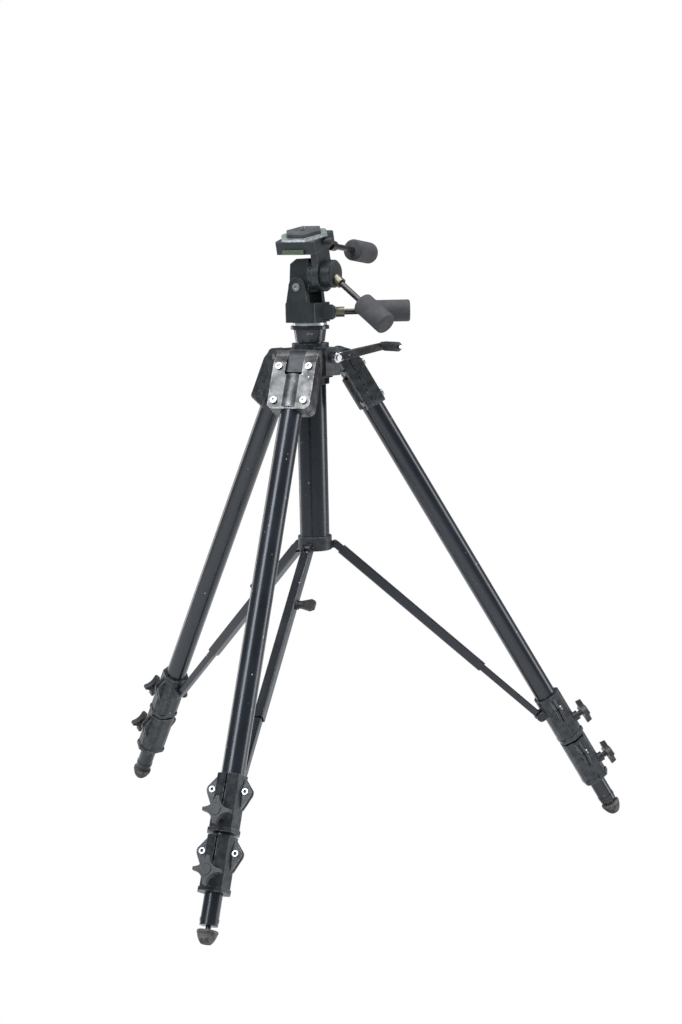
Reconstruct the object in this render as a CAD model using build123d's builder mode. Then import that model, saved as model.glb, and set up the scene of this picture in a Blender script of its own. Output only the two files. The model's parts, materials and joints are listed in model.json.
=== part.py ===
"""Full-size camera tripod: three braced telescopic legs, a geared centre column and a three-way head.

Everything is in millimetres.  A leg is modelled once in its own frame (Z runs down the leg from its
hinge pin, X points away from the column, Y is tangential) and then placed at its three azimuths.
"""
import math
import os

from build123d import *

os.makedirs("parts", exist_ok=True)

# ---------------------------------------------------------------- driving dimensions
# clearances
running = 0.05            # radial clearance of pins and guides that move
seat = 0.3                # gap between moving faces that only pass each other
fork_side = 0.3           # side clearance of a tongue in its fork

# legs
leg_azimuths = {"front": -90.0, "right": 30.0, "left": 150.0}
leg_splay = 30.0
leg_length = 777.0        # hinge pin to the centre of the foot
hinge_radius = 45.0       # hinge pin to the column axis
hinge_pin_r = 4.0
foot_r = 13.0
foot_stem_r = 3.5
foot_stem_visible = 4.0
foot_ribs, foot_rib_pitch, foot_rib_depth = 2, 2.8, 0.9

upper_tube_r = 15.0
middle_tube_r = 13.3
lower_tube_r = 11.6
leg_wall = 1.3
upper_tube_start = 31.0
middle_tube_start = 130.0
lower_tube_start = 140.0
foot_stud = 11.0          # lower tube's end to the centre of the foot
lower_tube_end = leg_length - foot_stud
lower_band_rise, lower_band_height, lower_band_proud = 9.0, 4.0, 0.6

# leg brackets (two half shells)
bracket_width = 60.0
bracket_outer = 16.0
bracket_taper_at = 12.0
bracket_nose_r = 12.0
bracket_end = 80.0
bracket_boss_r = 18.6
bracket_parting = 1.2
tongue_width = 24.0
tongue_slot_depth = 30.0
bracket_screw_spread = 42.0
bracket_screws_at = (18.5, 68.5)
screw_head_r, screw_head_height, screw_shank_r = 4.6, 3.2, 2.2
socket_r, socket_depth = 2.5, 2.0

# leg clamps
clamp_vertex_r = 20.6
clamp_inner_flat = 17.6
clamp_length = 74.0
clamp_spacing = 78.0
foot_to_clamp = 121.0     # foot centre to the top of the lower clamp
lower_clamp_at = leg_length - foot_to_clamp
upper_clamp_at = lower_clamp_at - clamp_spacing
lower_clamp_length = 70.0
clamp_step = 38.0         # from the clamp's top to the shoulder between its two bores
lower_clamp_step = 37.0
upper_tube_end = upper_clamp_at + clamp_step
middle_tube_end = lower_clamp_at + lower_clamp_step
ear_span, ear_depth = 62.0, 10.0
ear_rise, ear_tip_r = 25.0, 5.0
ear_screw_side, ear_screw_r = 22.0, 4.0
ear_at = 20.0             # ear centre below the clamp's top
slit_width = 2.0
lip_height, lip_proud = 5.0, 1.6
knob_at, lower_knob_at = 52.0, 48.0
knob_boss_r, knob_boss_off = 7.0, 26.0
knob_stem_r = 4.0
knob_off = 32.0
knob_thickness = 8.0
knob_span = 38.0
knob_waist_r, knob_tip_r = 9.0, 2.0
knob_hub_r, knob_hub_proud = 7.5, 1.5

# braces
brace_pivot_off = -23.0
brace_pivot_drop = 22.0   # upper clamp's top to the brace's foot pivot
brace_pivot_at = upper_clamp_at + brace_pivot_drop
brace_ear_gap = 11.4
brace_ear_thickness = 3.5
brace_pin_r = 3.0
brace_outer_size = 14.0
brace_wall = 1.2
brace_inner_size = 10.0
brace_outer_length = 281.0
brace_stop = 72.0         # fork's base to the inner rod's end, leg out
brace_knob_at = 96.0
brace_knob_reach = 26.0
hub_pivot_r, hub_pivot_rise = 29.5, 5.5
hub_lug_width = 6.0
fork_cheek = 3.7
fork_nose_r = 5.2
fork_base_at = 12.0

# column, crown and gear case
foot_centre_z = foot_r
hinge_z = foot_centre_z + leg_length * math.cos(math.radians(leg_splay))
foot_circle = hinge_radius + leg_length * math.sin(math.radians(leg_splay))
column_y = foot_circle / 4
sleeve_r = 20.4
column_r = 18.0
column_wall = 2.5
sleeve_wall = 1.8
deck_z = float(round(hinge_z))    # whole-millimetre datum of the crown and all that it carries
hub_drop, hub_height, hub_r = 268.0, 19.7, 23.6
hub_z0 = deck_z - hub_drop
hub_z1 = hub_z0 + hub_height
hub_pivot_z = hub_z0 + hub_pivot_rise
crown_drop, crown_height, crown_r = 28.0, 39.0, 30.0
crown_z0 = deck_z - crown_drop
crown_z1 = crown_z0 + crown_height
lower_ring_height, lower_ring_r = 9.0, 25.0
lower_ring_z0 = crown_z0 - lower_ring_height
collar_height, collar_r = 8.0, 22.5
collar_z1 = crown_z1 + collar_height
crown_nose_r = 11.0
tongue_tail = 24.0
case_azimuth = -30.0
case_width, case_reach, case_height = 25.0, 46.0, 38.0
case_z1 = crown_z1 + 3
case_z0 = case_z1 - case_height
crank_z = deck_z + 1
gear_module, pinion_teeth = 1.25, 10
pinion_width, pinion_start = 6.0, 9.0
backlash = 0.7
column_z0 = hub_z0 + 7
rack_inset = 30.0         # column tube's lower end to the rack
rack_z0, rack_z1 = column_z0 + rack_inset, crown_z1 + 2
crank_shaft_r = 4.0
crank_shaft_end = case_reach + 14

# head
cup_height, cup_r0, cup_r1 = 17.0, 20.0, 22.5
cup_z0 = collar_z1 + 2
cup_z1 = cup_z0 + cup_height
flange_height, flange_r = 5.0, 26.5
flange_z1 = cup_z1 + flange_height
ring_height, ring_r = 4.2, 23.3
ring_z1 = flange_z1 + ring_height
pan_width, pan_height = 46.0, 26.5
pan_z0 = ring_z1 + seat
pan_z1 = pan_z0 + pan_height
head_azimuth = -10.2
yoke_x, yoke_rise = -5.0, 22.0
yoke_z = pan_z1 + yoke_rise
yoke_ear_r = 13.0
yoke_inner, yoke_outer = 17.8, 25.5
yoke_pin_r = 4.0
drum_rise, drum_r = 17.0, 22.0
drum_z = yoke_z + drum_rise
block_x0, drum_x0, drum_x1 = -21.0, 9.5, 17.0
disc_x0, disc_x1, disc_r = 17.3, 27.0, 24.0
cap_x0, cap_x1, cap_r = 27.3, 43.0, 19.0
drum_shaft_r = 7.0
platform_tilt = 14.0
platform_size, platform_thickness = 60.0, 18.0
platform_rise = 35.0
platform_x = 1.5
tray_flats, tray_height = 57.0, 3.2
plate_flats, plate_height = 46.0, 5.0
stud_r, stud_proud = 3.175, 4.6
stud_neck_r, neck_proud = 2.3, 0.5
handle_rod_r = 4.0
bushing_r, bushing_length = 7.0, 12.0
grip_r, grip_length = 15.0, 51.0

# ---------------------------------------------------------------- frames
column_frame = Plane((0, column_y, 0))
splay = math.radians(leg_splay)


def leg_frame(azimuth):
    """Frame of one leg: origin on its hinge pin, Z down the leg, X away from the column."""
    turn = math.radians(azimuth)
    outward = Vector(math.cos(turn), math.sin(turn), 0)
    up = Vector(0, 0, 1)
    origin = Vector(0, column_y, 0) + outward * hinge_radius + up * hinge_z
    along = outward * math.sin(splay) - up * math.cos(splay)
    normal = outward * math.cos(splay) + up * math.sin(splay)
    return Plane(origin, x_dir=normal, z_dir=along)


def save(piece, name):
    """Label a finished piece and write it as its own STEP file."""
    piece.label = name
    export_step(piece, f"parts/{name}.step")


def save_on_legs(piece, name):
    """Write one copy of a leg piece on each leg."""
    for leg, azimuth in leg_azimuths.items():
        save(piece.moved(leg_frame(azimuth).location), f"{leg}_leg_{name}")


# ---------------------------------------------------------------- leg bracket
bracket_half = bracket_width / 2
screw_side = bracket_screw_spread / 2
screw_spots = [(at, side) for at in bracket_screws_at for side in (-screw_side, screw_side)]

with BuildPart() as bracket:
    with BuildSketch(Plane.XZ):
        Circle(bracket_nose_r)
        Polygon((-bracket_nose_r, 0), (bracket_nose_r, 0), (bracket_outer, bracket_taper_at),
                (bracket_outer, bracket_end), (-bracket_nose_r, bracket_end), align=None)
    extrude(amount=bracket_half, both=True)
    fillet(bracket.edges().filter_by(Axis.X).sort_by(Axis.Z)[-2:], 9)
    with BuildSketch(Plane.XY.offset(tongue_slot_depth)):
        Circle(bracket_boss_r)
    extrude(amount=bracket_end - tongue_slot_depth - 3)
    with BuildSketch(Plane.XZ):
        with Locations((0, 0)):
            Rectangle(4 * bracket_outer, 2 * tongue_slot_depth)
    extrude(amount=tongue_width / 2 + fork_side, both=True, mode=Mode.SUBTRACT)
    with BuildSketch(Plane.XY.offset(-bracket_nose_r)):
        Circle(upper_tube_r + running)
    extrude(amount=bracket_end + 2 * bracket_nose_r, mode=Mode.SUBTRACT)
    with BuildSketch(Plane.XZ):
        Circle(hinge_pin_r + running)
    extrude(amount=bracket_half, both=True, mode=Mode.SUBTRACT)
    with BuildSketch(Plane.XY.offset(-bracket_nose_r)):
        Rectangle(bracket_parting, bracket_width)
    extrude(amount=bracket_end + 2 * bracket_nose_r, mode=Mode.SUBTRACT)
    with Locations(*[Location((bracket_outer, side, at), (0, 90, 0)) for at, side in screw_spots]):
        Hole(screw_shank_r + running)
save_on_legs(bracket.part, "bracket")

with BuildPart() as bracket_fasteners:
    with BuildSketch(Plane.XZ):
        Circle(hinge_pin_r)
    extrude(amount=bracket_half - 1, both=True)
    for at, side in screw_spots:
        with BuildSketch(Plane(origin=(bracket_outer, side, at), z_dir=(1, 0, 0))):
            Circle(screw_head_r)
        extrude(amount=screw_head_height)
        with BuildSketch(Plane(origin=(bracket_outer, side, at), z_dir=(-1, 0, 0))):
            Circle(screw_shank_r)
        extrude(amount=bracket_outer + bracket_nose_r)
        with BuildSketch(Plane(origin=(-bracket_nose_r, side, at), z_dir=(-1, 0, 0))):
            RegularPolygon(screw_head_r, 6)
        extrude(amount=screw_head_height)
        with BuildSketch(Plane(origin=(bracket_outer + screw_head_height, side, at), z_dir=(-1, 0, 0))):
            RegularPolygon(socket_r, 6)
        extrude(amount=socket_depth, mode=Mode.SUBTRACT)
save_on_legs(bracket_fasteners.part, "bracket_fasteners")


# ---------------------------------------------------------------- leg tubes
def tube(outer_r, start, end, wall=leg_wall):
    """Round tube along Z."""
    with BuildPart() as pipe:
        with BuildSketch(Plane.XY.offset(start)):
            Circle(outer_r)
            Circle(outer_r - wall, mode=Mode.SUBTRACT)
        extrude(amount=end - start)
    return pipe.part


save_on_legs(tube(upper_tube_r, upper_tube_start, upper_tube_end), "upper_tube")
save_on_legs(tube(middle_tube_r, middle_tube_start, middle_tube_end), "middle_tube")

with BuildPart() as lower_tube:
    add(tube(lower_tube_r, lower_tube_start, lower_tube_end))
    with BuildSketch(Plane.XY.offset(lower_tube_end - lower_band_rise)):
        Circle(lower_tube_r + lower_band_proud)
        Circle(lower_tube_r - leg_wall, mode=Mode.SUBTRACT)
    extrude(amount=lower_band_height)
    with BuildSketch(Plane.XY.offset(lower_tube_end - 3)):
        Circle(lower_tube_r)
    extrude(amount=3)
    with BuildSketch(Plane.XY.offset(lower_tube_end)):
        Circle(foot_stem_r)
    extrude(amount=foot_stem_visible)
save_on_legs(lower_tube.part, "lower_tube")

foot_top = lower_tube_end + foot_stem_visible
with BuildPart() as foot:
    with BuildSketch(Plane.XZ):
        with Locations((0, leg_length)):
            Circle(foot_r)
        with Locations((-foot_r, leg_length)):
            Rectangle(2 * foot_r, 4 * foot_r, mode=Mode.SUBTRACT)
        with Locations((0, foot_top - foot_r)):
            Rectangle(4 * foot_r, 2 * foot_r, mode=Mode.SUBTRACT)
        with Locations(*[(foot_r, leg_length - 1 + step * foot_rib_pitch) for step in range(foot_ribs)]):
            Rectangle(foot_rib_depth * 2, foot_rib_pitch / 2, mode=Mode.SUBTRACT)
    revolve(axis=Axis.Z)
save_on_legs(foot.part, "foot")


# ---------------------------------------------------------------- leg clamps
def clamp(top, length, step, upper_r, lower_r, knob_place):
    """Cast clamp: grips the tube above it and slides a thinner tube below its shoulder."""
    with BuildPart() as body:
        with BuildSketch(Plane.XY.offset(top)):
            RegularPolygon(clamp_vertex_r, 8)
        extrude(amount=length)
        with BuildSketch(Plane.YZ) as ears:
            with Locations((0, top + ear_at)):
                Polygon((-ear_span / 2, 0), (0, -ear_rise), (ear_span / 2, 0), (0, ear_rise))
            fillet(ears.vertices(), ear_tip_r)
        extrude(amount=ear_depth / 2, both=True)
        with BuildSketch(Plane.YZ.offset(ear_depth / 2)):
            with Locations((-ear_screw_side, top + ear_at), (ear_screw_side, top + ear_at)):
                Circle(ear_screw_r)
                RegularPolygon(socket_r, 6, mode=Mode.SUBTRACT)
        extrude(amount=socket_depth)
        with BuildSketch(Plane.XY.offset(top + length - lip_height)):
            RegularPolygon(clamp_vertex_r + lip_proud, 8)
        extrude(amount=lip_height)
        with BuildSketch(Plane(origin=(0, 0, top + knob_place), z_dir=(1, 0, 0))):
            Circle(knob_boss_r)
        extrude(amount=knob_boss_off)
        with BuildSketch(Plane.XY.offset(top - ear_rise)):
            with Locations((-clamp_inner_flat - clamp_vertex_r, 0)):
                Rectangle(2 * clamp_vertex_r, 3 * clamp_vertex_r)
        extrude(amount=length + 2 * ear_rise, mode=Mode.SUBTRACT)
        with BuildSketch(Plane.XY.offset(top - ear_rise)):
            Circle(upper_r + running)
        extrude(amount=ear_rise + step, mode=Mode.SUBTRACT)
        with BuildSketch(Plane.XY.offset(top)):
            Circle(lower_r + running)
        extrude(amount=length, mode=Mode.SUBTRACT)
        with BuildSketch(Plane(origin=(0, 0, top + knob_place), z_dir=(1, 0, 0))):
            Circle(knob_stem_r + running)
        extrude(amount=knob_boss_off, mode=Mode.SUBTRACT)
        with BuildSketch(Plane.XY.offset(top)):
            with Locations((clamp_vertex_r, 0)):
                Rectangle(clamp_vertex_r, slit_width)
        extrude(amount=knob_place - knob_boss_r - 2, mode=Mode.SUBTRACT)
    return body.part


upper_clamp_plain = clamp(upper_clamp_at, clamp_length, clamp_step, upper_tube_r, middle_tube_r, knob_at)
lower_clamp = clamp(lower_clamp_at, lower_clamp_length, lower_clamp_step, middle_tube_r, lower_tube_r,
                    lower_knob_at)

with BuildPart() as upper_clamp:
    add(upper_clamp_plain)
    for side in (-1, 1):
        with BuildSketch(Plane(origin=(0, side * brace_ear_gap / 2, 0), x_dir=(1, 0, 0),
                               z_dir=(0, side, 0))):
            with Locations((brace_pivot_off, -side * brace_pivot_at)):
                Circle(brace_pin_r + 3.5)
            with Locations(((brace_pivot_off - clamp_inner_flat + 1) / 2, -side * brace_pivot_at)):
                Rectangle(-clamp_inner_flat + 1 - brace_pivot_off, 2 * brace_pin_r + 7)
        extrude(amount=brace_ear_thickness)
save_on_legs(upper_clamp.part, "upper_clamp")
save_on_legs(lower_clamp, "lower_clamp")


def knob(at):
    """Four-pointed locking knob on its stem, pointing away from the leg."""
    tip = knob_span / 2
    tips = [Vector(tip, 0).rotate(Axis.Z, 45 + 90 * turn) for turn in range(5)]
    waists = [Vector(knob_waist_r, 0).rotate(Axis.Z, 90 + 90 * turn) for turn in range(4)]
    with BuildPart() as star:
        with BuildSketch(Plane(origin=(knob_off, 0, at), x_dir=(0, 1, 0), z_dir=(1, 0, 0))) as outline:
            with BuildLine():
                for start, waist, end in zip(tips, waists, tips[1:]):
                    ThreePointArc(start, waist, end)
            make_face()
            fillet(outline.vertices(), knob_tip_r)
        extrude(amount=knob_thickness)
        chamfer(star.faces().sort_by(Axis.X)[-1].edges(), 0.8)
        with BuildSketch(Plane(origin=(knob_off, 0, at), z_dir=(1, 0, 0))):
            Circle(knob_hub_r)
        extrude(amount=knob_thickness + knob_hub_proud)
        with BuildSketch(Plane(origin=(upper_tube_r + 1, 0, at), z_dir=(1, 0, 0))):
            Circle(knob_stem_r)
        extrude(amount=knob_off - upper_tube_r)
    return star.part


upper_knob = knob(upper_clamp_at + knob_at)
lower_knob = knob(lower_clamp_at + lower_knob_at)
save_on_legs(upper_knob, "upper_knob")
save_on_legs(lower_knob, "lower_knob")

# ---------------------------------------------------------------- braces
brace_foot_r = (hinge_radius + brace_pivot_at * math.sin(splay)
                + brace_pivot_off * math.cos(splay))
brace_foot_z = (hinge_z - brace_pivot_at * math.cos(splay)
                + brace_pivot_off * math.sin(splay))
brace_length = math.hypot(brace_foot_r - hub_pivot_r, hub_pivot_z - brace_foot_z)
brace_angle = math.atan2(brace_foot_r - hub_pivot_r, hub_pivot_z - brace_foot_z)
brace_inner_length = float(round(brace_length - fork_base_at - brace_stop))


def brace_frame(azimuth):
    """Frame of one brace: origin on its hub pin, Z down the brace, X away from the column."""
    turn = math.radians(azimuth)
    outward = Vector(math.cos(turn), math.sin(turn), 0)
    up = Vector(0, 0, 1)
    origin = Vector(0, column_y, 0) + outward * hub_pivot_r + up * hub_pivot_z
    along = outward * math.sin(brace_angle) - up * math.cos(brace_angle)
    normal = outward * math.cos(brace_angle) + up * math.sin(brace_angle)
    return Plane(origin, x_dir=normal, z_dir=along)


def save_on_braces(piece, name):
    """Write one copy of a brace piece under each leg."""
    for leg, azimuth in leg_azimuths.items():
        save(piece.moved(brace_frame(azimuth).location), f"{leg}_leg_{name}")


inner_void = brace_outer_size - 2 * brace_wall
brace_knob_hole_r = 3.0
with BuildPart() as brace_outer:
    with BuildSketch(Plane.XY.offset(fork_base_at)):
        RectangleRounded(brace_outer_size, brace_outer_size, 2)
    extrude(amount=brace_outer_length - fork_base_at)
    with BuildSketch(Plane.XY.offset(fork_base_at + 6)):
        Rectangle(inner_void, inner_void)
    extrude(amount=brace_outer_length, mode=Mode.SUBTRACT)
    for side in (-1, 1):
        cheek_plane = Plane(origin=(0, side * (hub_lug_width / 2 + fork_side), 0), x_dir=(1, 0, 0),
                            z_dir=(0, side, 0))
        with BuildSketch(cheek_plane):
            Circle(fork_nose_r)
            with Locations((0, -side * fork_base_at / 2)):
                Rectangle(2 * fork_nose_r, fork_base_at)
        extrude(amount=fork_cheek)
    with BuildSketch(Plane.XZ):
        Circle(brace_pin_r)
    extrude(amount=hub_lug_width / 2 + fork_side + fork_cheek + 1.5, both=True)
    with BuildSketch(Plane(origin=(0, 0, brace_knob_at), z_dir=(0, -1, 0))):
        Circle(brace_knob_hole_r + running)
    extrude(amount=brace_outer_size, mode=Mode.SUBTRACT)
save_on_braces(brace_outer.part, "brace_outer")

with BuildPart() as brace_inner:
    with BuildSketch(Plane.XY.offset(brace_length - brace_inner_length)):
        RectangleRounded(brace_inner_size, brace_inner_size, 1.5)
    extrude(amount=brace_inner_length)
    with BuildSketch(Plane.XZ):
        with Locations((0, brace_length)):
            Circle(brace_inner_size / 2)
    extrude(amount=brace_inner_size / 2, both=True)
save_on_braces(brace_inner.part, "brace_inner")

knob_start = brace_outer_size / 2 + seat
knob_wing = 9.0
with BuildPart() as brace_knob:
    with BuildSketch(Plane(origin=(0, -(brace_inner_size / 2 + seat), brace_knob_at), z_dir=(0, -1, 0))):
        Circle(brace_knob_hole_r)
    extrude(amount=knob_start + 3)
    with BuildSketch(Plane(origin=(0, -knob_start, brace_knob_at), z_dir=(0, -1, 0))):
        Circle(7)
    extrude(amount=2)
    with BuildSketch(Plane(origin=(0, -knob_start - 2, brace_knob_at), z_dir=(0, -1, 0))):
        Circle(5.5)
    extrude(amount=8)
    with BuildSketch(Plane(origin=(0, 0, brace_knob_at), x_dir=(0, 1, 0), z_dir=(1, 0, 0))) as wing:
        with BuildLine():
            Polyline((-knob_start - 6, -5), (-knob_start - brace_knob_reach + 6, -knob_wing),
                     (-knob_start - brace_knob_reach, -knob_wing + 3),
                     (-knob_start - brace_knob_reach, knob_wing - 3),
                     (-knob_start - brace_knob_reach + 6, knob_wing), (-knob_start - 6, 5), close=True)
        make_face()
        fillet(wing.vertices(), 1.5)
    extrude(amount=2.2, both=True)
save_on_braces(brace_knob.part, "brace_knob")

# ---------------------------------------------------------------- column sleeve and hub
azimuths = list(leg_azimuths.values())


def place(piece, name):
    """Write a piece that was modelled about the column axis."""
    save(piece.moved(column_frame.location), name)


with BuildPart() as column_sleeve:
    with BuildSketch(Plane.XY.offset(hub_z0)):
        Circle(sleeve_r)
        Circle(sleeve_r - sleeve_wall, mode=Mode.SUBTRACT)
    extrude(amount=crown_z0 - hub_z0)
place(column_sleeve.part, "column_sleeve")

with BuildPart() as brace_hub:
    with BuildSketch(Plane.XY.offset(hub_z0)):
        Circle(hub_r)
    extrude(amount=hub_z1 - hub_z0)
    chamfer(brace_hub.edges().filter_by(GeomType.CIRCLE), 0.8)
    for azimuth in azimuths:
        lug_plane = Plane(origin=(0, 0, 0), x_dir=Vector(1, 0, 0).rotate(Axis.Z, azimuth),
                          z_dir=Vector(0, -1, 0).rotate(Axis.Z, azimuth))
        with BuildSketch(lug_plane):
            with Locations((hub_pivot_r, hub_pivot_z)):
                Circle(fork_nose_r - 0.4)
            with Locations(((hub_pivot_r + hub_r - 4) / 2, hub_pivot_z)):
                Rectangle(hub_pivot_r - hub_r + 4, 2 * fork_nose_r - 0.8)
        extrude(amount=hub_lug_width / 2, both=True)
    with BuildSketch(Plane.XY.offset(hub_z0)):
        Circle(sleeve_r)
    extrude(amount=hub_z1 - hub_z0, mode=Mode.SUBTRACT)
    for azimuth in azimuths:
        lug_plane = Plane(origin=(0, 0, 0), x_dir=Vector(1, 0, 0).rotate(Axis.Z, azimuth),
                          z_dir=Vector(0, -1, 0).rotate(Axis.Z, azimuth))
        with BuildSketch(lug_plane):
            with Locations((hub_pivot_r, hub_pivot_z)):
                Circle(brace_pin_r + running)
        extrude(amount=hub_lug_width, both=True, mode=Mode.SUBTRACT)
place(brace_hub.part, "brace_hub")

# ---------------------------------------------------------------- crown with its gear case
case_x = Vector(1, 0, 0).rotate(Axis.Z, case_azimuth)
case_side = Vector(0, 1, 0).rotate(Axis.Z, case_azimuth)
crank_plane = Plane(origin=(0, 0, crank_z), x_dir=case_side, z_dir=case_x)
pitch_r = gear_module * pinion_teeth / 2
chamber_r = pitch_r + gear_module + 1.2

with BuildPart() as crown:
    with BuildSketch(Plane.XY.offset(crown_z0)):
        Circle(crown_r)
    extrude(amount=crown_z1 - crown_z0)
    chamfer(crown.faces().sort_by(Axis.Z)[-1].edges(), 3)
    with BuildSketch(Plane.XY.offset(lower_ring_z0)):
        Circle(lower_ring_r)
    extrude(amount=crown_z0 - lower_ring_z0)
    with BuildSketch(Plane.XY.offset(crown_z1 - 4)):
        Circle(collar_r + 3)
    extrude(amount=collar_z1 - crown_z1 + 4)
    for azimuth in azimuths:
        tongue_plane = Plane(origin=(0, 0, 0), x_dir=Vector(1, 0, 0).rotate(Axis.Z, azimuth),
                             z_dir=Vector(0, -1, 0).rotate(Axis.Z, azimuth))
        with BuildSketch(tongue_plane):
            with Locations((hinge_radius, hinge_z)):
                Circle(crown_nose_r)
            with Locations((hinge_radius / 2, hinge_z - 4)):
                Rectangle(hinge_radius, 2 * crown_nose_r - 8)
            with Locations(Location((hinge_radius, hinge_z, 0), leg_splay)):
                with Locations((0, -tongue_tail / 2)):
                    Rectangle(2 * crown_nose_r, tongue_tail)
        extrude(amount=tongue_width / 2, both=True)
    with BuildSketch(Plane(origin=(0, 0, case_z0), x_dir=case_x, z_dir=(0, 0, 1))):
        with Locations((case_reach / 2, 0)):
            Rectangle(case_reach, case_width)
    extrude(amount=case_z1 - case_z0)
    with BuildSketch(Plane.XY.offset(lower_ring_z0)):
        Circle(sleeve_r)
    extrude(amount=crown_z0 - lower_ring_z0, mode=Mode.SUBTRACT)
    with BuildSketch(Plane.XY.offset(lower_ring_z0)):
        Circle(column_r + running)
    extrude(amount=collar_z1 - lower_ring_z0, mode=Mode.SUBTRACT)
    with BuildSketch(crank_plane):
        Circle(chamber_r)
    extrude(amount=case_reach - 12, mode=Mode.SUBTRACT)
    with BuildSketch(crank_plane):
        Circle(crank_shaft_r + running)
    extrude(amount=2 * case_reach, mode=Mode.SUBTRACT)
    for azimuth in azimuths:
        tongue_plane = Plane(origin=(0, 0, 0), x_dir=Vector(1, 0, 0).rotate(Axis.Z, azimuth),
                             z_dir=Vector(0, -1, 0).rotate(Axis.Z, azimuth))
        with BuildSketch(tongue_plane):
            with Locations((hinge_radius, hinge_z)):
                Circle(hinge_pin_r + running)
        extrude(amount=tongue_width, both=True, mode=Mode.SUBTRACT)
place(crown.part, "crown")

# ---------------------------------------------------------------- moving column and its rack
slot_low, slot_high = -9.8, chamber_r + 0.3
pitch = math.pi * gear_module
with BuildPart() as column_tube:
    with BuildSketch(Plane.XY.offset(column_z0)):
        Circle(column_r)
        Circle(column_r - column_wall, mode=Mode.SUBTRACT)
    extrude(amount=cup_z0 - column_z0)
    with BuildSketch(Plane(origin=(0, 0, rack_z0), x_dir=case_x, z_dir=(0, 0, 1))):
        with Locations((column_r, (slot_low + slot_high) / 2)):
            Rectangle(2 * column_r, slot_high - slot_low)
    extrude(amount=rack_z1 - rack_z0, mode=Mode.SUBTRACT)
place(column_tube.part, "column_tube")

tooth_tip, tooth_root = gear_module, 1.25 * gear_module
flank = math.tan(math.radians(20))
half_tooth = pitch / 4 - backlash / 4
rack_teeth = int((rack_z1 - rack_z0) / pitch) - 1
rack_plane = Plane(origin=(0, 0, crank_z), x_dir=case_side, z_dir=case_x).offset(pinion_start)
rack_low = rack_z0 - crank_z
rack_high = rack_z1 - crank_z
with BuildPart() as column_rack:
    with BuildSketch(rack_plane):
        with Locations(((slot_low - pitch_r - tooth_root) / 2, (rack_low + rack_high) / 2)):
            Rectangle(-slot_low - pitch_r - tooth_root, rack_high - rack_low)
        first_tooth = math.ceil(rack_low / pitch)
        tip_half = half_tooth - tooth_tip * flank
        root_half = half_tooth + tooth_root * flank
        with Locations(*[(-pitch_r, (first_tooth + step + 0.5) * pitch) for step in range(rack_teeth)]):
            Polygon((-tooth_root, -root_half), (tooth_tip, -tip_half), (tooth_tip, tip_half),
                    (-tooth_root, root_half), align=None)
    extrude(amount=pinion_width)
place(column_rack.part, "column_rack")

with BuildPart() as column_platform:
    with BuildSketch(Plane.XZ):
        with BuildLine():
            Polyline((0, cup_z0), (cup_r0, cup_z0), (cup_r1, cup_z1), (flange_r, cup_z1),
                     (flange_r, flange_z1), (0, flange_z1), close=True)
        make_face()
    revolve(axis=Axis.Z)
    chamfer(column_platform.edges().filter_by(GeomType.CIRCLE).sort_by(Axis.Z)[-1], 1)
place(column_platform.part, "column_platform")

with BuildPart() as head_base_ring:
    with BuildSketch(Plane.XY.offset(flange_z1)):
        Circle(ring_r)
    extrude(amount=ring_z1 - flange_z1)
    chamfer(head_base_ring.edges(), 0.4)
place(head_base_ring.part, "head_base_ring")

# ---------------------------------------------------------------- crank and pinion
pinion_tip = 0.8 * gear_module
with BuildPart() as crank_shaft:
    with BuildSketch(crank_plane.offset(pinion_start)):
        Circle(pitch_r - tooth_root)
        for tooth in range(pinion_teeth):
            with Locations(Location((0, 0, 0), 180 + tooth * 360 / pinion_teeth)):
                Polygon((pitch_r - tooth_root - 1, -half_tooth - 0.4), (pitch_r, -half_tooth),
                        (pitch_r + pinion_tip, -half_tooth + 1.3 * pinion_tip * flank),
                        (pitch_r + pinion_tip, half_tooth - 1.3 * pinion_tip * flank),
                        (pitch_r, half_tooth), (pitch_r - tooth_root - 1, half_tooth + 0.4), align=None)
    extrude(amount=pinion_width)
    with BuildSketch(crank_plane.offset(pinion_start)):
        Circle(crank_shaft_r)
    extrude(amount=crank_shaft_end - pinion_start)
place(crank_shaft.part, "crank_shaft")

crank_lean = 48.0
crank_swing = 17.0
crank_hub_start, crank_hub_length, crank_hub_r = case_reach + seat, 12.0, 7.5
arm_length, arm_width, arm_thickness = 66.0, 13.0, 5.0
grip_stub, crank_grip_length, crank_grip_r = 6.0, 28.0, 6.5
lean = math.radians(crank_lean)
swing = math.radians(crank_swing)
swing_dir = case_side * math.cos(swing) + Vector(0, 0, 1) * math.sin(swing)
arm_dir = case_x * math.cos(lean) + swing_dir * math.sin(lean)
arm_face = swing_dir * math.cos(lean) - case_x * math.sin(lean)
arm_start = case_x * (crank_hub_start + crank_hub_length / 2) + Vector(0, 0, crank_z)
arm_plane = Plane(origin=arm_start, x_dir=arm_face.cross(arm_dir), z_dir=arm_dir)
arm_tip = arm_start + arm_dir * arm_length
grip_plane = Plane(origin=arm_tip, x_dir=case_side, z_dir=case_x)
with BuildPart() as crank_arm:
    with BuildSketch(crank_plane.offset(crank_hub_start)):
        Circle(crank_hub_r)
    extrude(amount=crank_hub_length)
    chamfer(crank_arm.edges().filter_by(GeomType.CIRCLE), 1)
    with BuildSketch(arm_plane):
        RectangleRounded(arm_width, arm_thickness, 2)
    with BuildSketch(arm_plane.offset(arm_length)):
        RectangleRounded(0.8 * arm_width, arm_thickness, 2)
    loft()
    with BuildSketch(grip_plane.offset(-arm_thickness / 2)):
        Circle(0.45 * arm_width)
    extrude(amount=arm_thickness)
    with BuildSketch(grip_plane):
        Circle(2.5)
    extrude(amount=grip_stub + crank_grip_length)
    with BuildSketch(crank_plane.offset(crank_hub_start)):
        Circle(crank_shaft_r)
    extrude(amount=crank_shaft_end - crank_hub_start, mode=Mode.SUBTRACT)
place(crank_arm.part, "crank_arm")

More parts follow.
